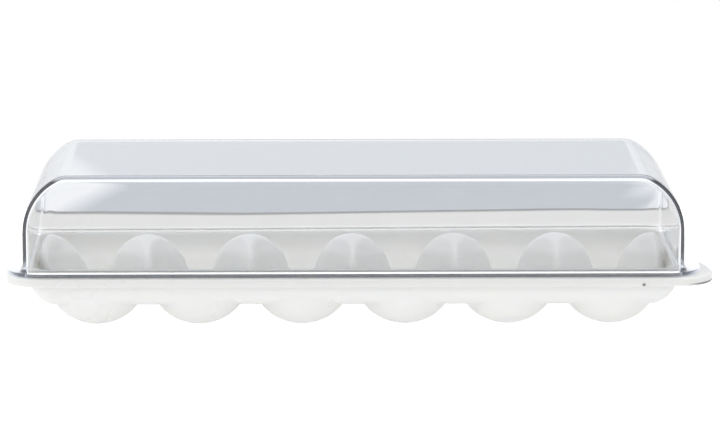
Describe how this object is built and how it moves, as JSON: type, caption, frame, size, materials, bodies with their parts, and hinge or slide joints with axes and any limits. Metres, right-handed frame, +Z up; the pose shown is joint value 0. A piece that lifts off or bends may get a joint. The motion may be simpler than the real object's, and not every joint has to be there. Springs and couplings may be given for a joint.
{
  "type": "egg carton",
  "caption": "Long plastic egg carton: a milky moulded tray with two rows of round egg cups under a clear arched lift-off lid on a flat rim.",
  "frame": {"origin": "middle of the footprint on the surface that the cups stand on", "axes": "+Z up; +X along the length, towards the end with the finger tab; +Y across the two rows, away from the pictured side"},
  "size_m": [0.341, 0.12, 0.077],
  "materials": {
    "tray_plastic": "milky white, slightly translucent, soft gloss",
    "lid_plastic": "clear, high gloss, faint blue-grey tint"
  },
  "bodies": {
    "tray": {"tray": "tray_plastic"},
    "lid": {"lid": "lid_plastic"}
  },
  "joints": [
    {"name": "lid_lift", "type": "slide", "parent": "tray", "child": "lid", "axis": [0, 0, 1], "range_m": [0, 0.12]}
  ]
}
